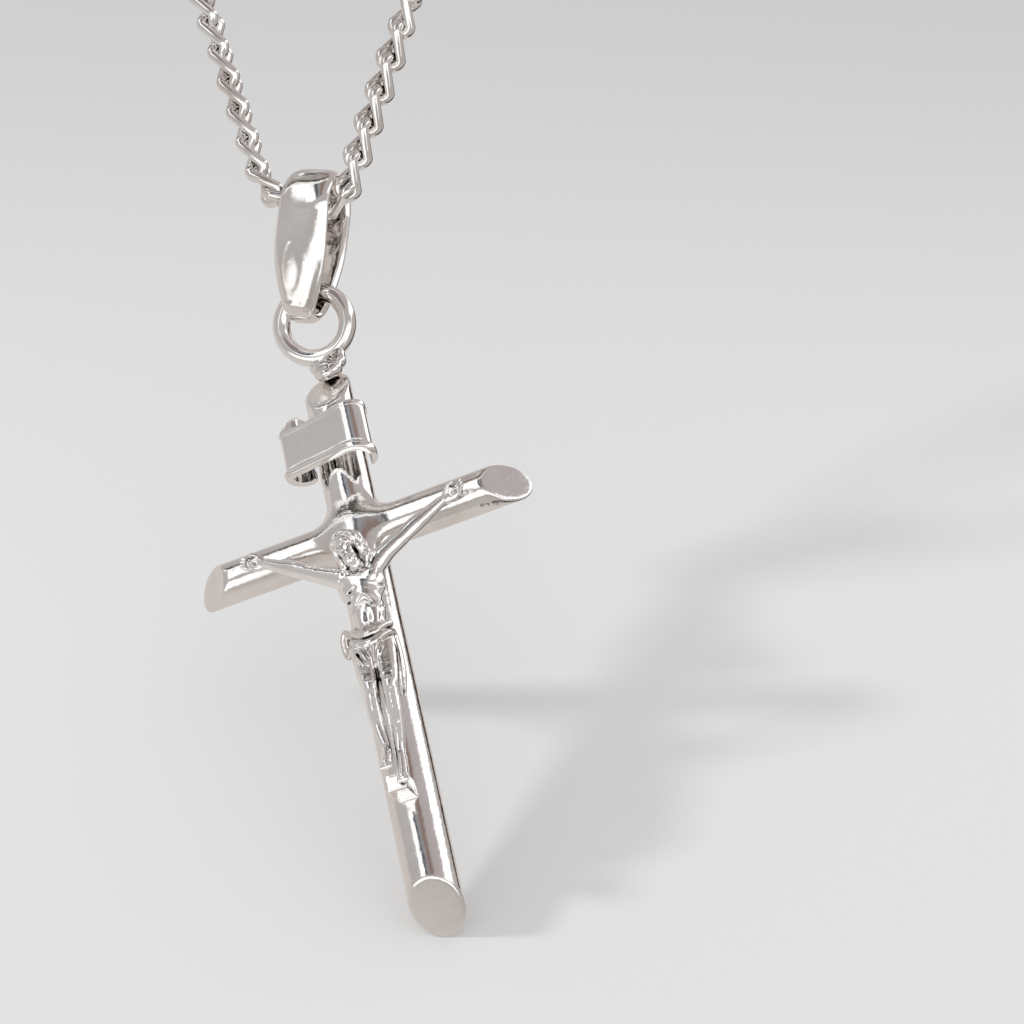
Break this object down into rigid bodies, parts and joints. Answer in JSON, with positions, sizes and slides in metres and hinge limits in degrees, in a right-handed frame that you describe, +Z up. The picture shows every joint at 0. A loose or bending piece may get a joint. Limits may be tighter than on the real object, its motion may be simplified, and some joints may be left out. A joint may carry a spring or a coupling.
{
  "type": "crucifix pendant",
  "caption": "Silver crucifix pendant of round bars with a figure and a title scroll, hung by a soldered ring and a tapered bail on a twisted curb chain with a sprung clasp.",
  "frame": {"origin": "middle of the straight line between the two eye bars from which the chain hangs", "axes": "+Z up along the post of the cross, +X to the viewer's right along the arms, -Y towards the front where the figure is"},
  "size_m": [0.0241, 0.0141, 0.0623],
  "materials": {
    "cross_silver": "polished sterling silver, faintly rippled by hand finishing",
    "figure_silver": "cast sterling silver, polished on the high places, dull in the folds",
    "peg_silver": "sterling silver peg, filed",
    "scroll_silver": "polished sterling silver sheet with a raised lower border",
    "ring_silver": "drawn sterling silver wire, polished",
    "solder_silver": "silver solder, lumpy, lightly polished",
    "bail_silver": "domed sterling silver sheet, high polish",
    "clasp_silver": "cast sterling silver, polished",
    "spring_steel": "thin bronze-grey spring leaf",
    "chain_silver": "sterling silver wire, barrelled to a high polish"
  },
  "bodies": {
    "end_fittings": {"clasp_body": "clasp_silver", "clasp_pin": "clasp_silver", "clasp_spring": "spring_steel", "catch_ring": "ring_silver"},
    "clasp_lever": {"clasp_lever": "clasp_silver"},
    "chain": {"chain_link_01": "chain_silver", "chain_link_02": "chain_silver", "chain_link_03": "chain_silver", "chain_link_04": "chain_silver", "chain_link_05": "chain_silver", "chain_link_06": "chain_silver", "chain_link_07": "chain_silver", "chain_link_08": "chain_silver", "chain_link_09": "chain_silver", "chain_link_10": "chain_silver", "chain_link_11": "chain_silver", "chain_link_12": "chain_silver", "chain_link_13": "chain_silver", "chain_link_14": "chain_silver", "chain_link_15": "chain_silver", "chain_link_16": "chain_silver", "chain_link_17": "chain_silver", "chain_link_18": "chain_silver", "chain_link_19": "chain_silver", "end_ring_left": "ring_silver", "end_ring_right": "ring_silver"},
    "bail": {"bail": "bail_silver"},
    "cross": {"cross": "cross_silver", "figure": "figure_silver", "figure_pegs": "peg_silver", "title_scroll": "scroll_silver", "ring": "ring_silver", "ring_solder": "solder_silver"}
  },
  "joints": [
    {"name": "chain_swing", "type": "hinge", "parent": "end_fittings", "child": "chain", "pos_m": [0, 0, 0], "axis": [0.9288, -0.0335, -0.3692], "range_deg": [-30, 30]},
    {"name": "bail_swing", "type": "hinge", "parent": "chain", "child": "bail", "pos_m": [-0.00513, 0.00629, -0.01321], "axis": [0.9185, -0.0213, -0.3948], "range_deg": [-30, 30]},
    {"name": "cross_swing", "type": "hinge", "parent": "bail", "child": "cross", "pos_m": [-0.00691, 0.00877, -0.01854], "axis": [0, 0.9272, 0.3746], "range_deg": [-30, 30]},
    {"name": "lever_open", "type": "hinge", "parent": "end_fittings", "child": "clasp_lever", "pos_m": [-0.0047, -0.00097, 0.00472], "axis": [-0.1783, -0.9135, -0.3656], "range_deg": [0, 28], "stiffness_Nm_per_rad": 0.0005, "springref_deg": -11.46}
  ]
}
